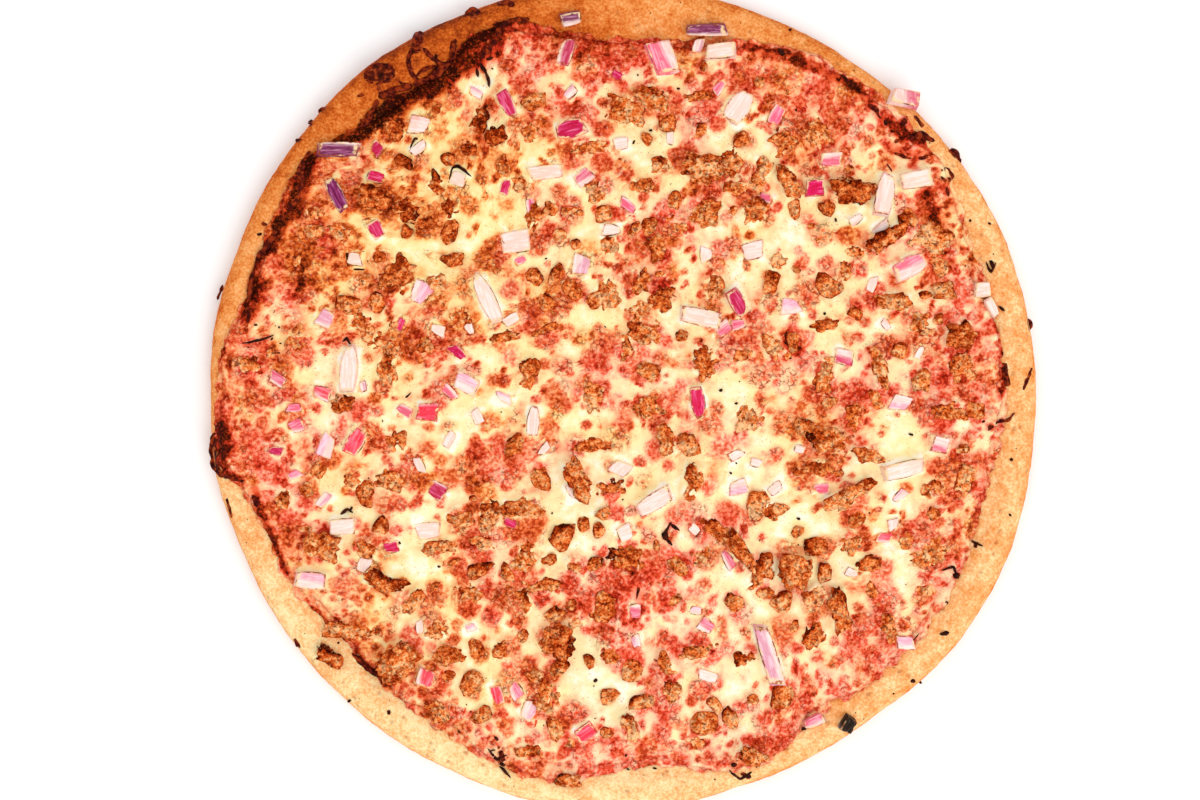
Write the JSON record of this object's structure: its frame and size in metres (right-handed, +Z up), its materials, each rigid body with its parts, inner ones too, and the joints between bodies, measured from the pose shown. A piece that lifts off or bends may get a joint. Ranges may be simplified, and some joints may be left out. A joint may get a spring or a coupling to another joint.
{
  "type": "pizza with ground sausage and red onion",
  "caption": "Round uncut pan pizza with a low raised rim, a tomato sauce ring, melted cheese, ground sausage crumbs and diced red onion",
  "frame": {"origin": "middle of the flat underside, on the surface that the pizza lies on", "axes": "+Z up out of the topping; +X to the right and +Y to the top of the picture"},
  "size_m": [0.3563, 0.3568, 0.0204],
  "materials": {
    "crust": "baked dough, matt, browned in patches",
    "sauce": "cooked tomato sauce, dark and glossy at its edge",
    "cheese": "melted cheese, oily, with browned patches",
    "meat": "browned ground sausage, craggy and a little greasy",
    "onion": "diced red onion, pink and white, with thin charred edges"
  },
  "bodies": {
    "root": {"crust": "crust", "sauce": "sauce", "cheese": "cheese", "onion_left_slab": "onion", "onion_left_wedge": "onion", "onion_dark_triangle": "onion", "onion_top_end": "onion", "onion_top_sliver": "onion", "onion_top_block": "onion", "onion_rim_slab": "onion", "onion_rim_block": "onion", "onion_white_petal": "onion", "onion_diamond": "onion", "onion_sauce_dice": "onion", "onion_magenta_dice": "onion", "onion_long_petal": "onion", "onion_white_block": "onion", "onion_over_edge": "onion", "onion_right_petal": "onion", "onion_rose_half": "onion", "onion_rose_square": "onion", "onion_split_dice": "onion", "onion_cream_petal": "onion", "onion_long_white": "onion", "onion_snow_block": "onion", "onion_striped_petal": "onion", "onion_magenta_wedge": "onion", "onion_wide_slab": "onion", "onion_middle_petal": "onion", "onion_big_white": "onion", "onion_framed_dice": "onion", "onion_pale_slab": "onion", "onion_blush_block": "onion", "onion_coral_dice": "onion", "onion_ruby_dice": "onion", "onion_long_strip": "onion", "onion_charred_dice": "onion", "crumb_top_twin": "meat", "crumb_top_heap": "meat", "crumb_tall": "meat", "crumb_dark_heap": "meat", "crumb_right_roll": "meat", "crumb_left_heap": "meat", "crumb_centre_roll": "meat", "crumb_centre_long": "meat", "crumb_right_cap": "meat", "crumb_slant": "meat", "crumb_right_loaf": "meat", "crumb_upright": "meat", "crumb_left_cap": "meat", "crumb_left_long": "meat", "crumb_low_heap": "meat", "crumb_low_round": "meat", "crumb_low_roll": "meat", "crumb_curl": "meat", "crumb_clover": "meat", "crumb_pillar": "meat", "crumb_low_loaf": "meat", "crumb_on_rim": "meat"}
  },
  "joints": []
}
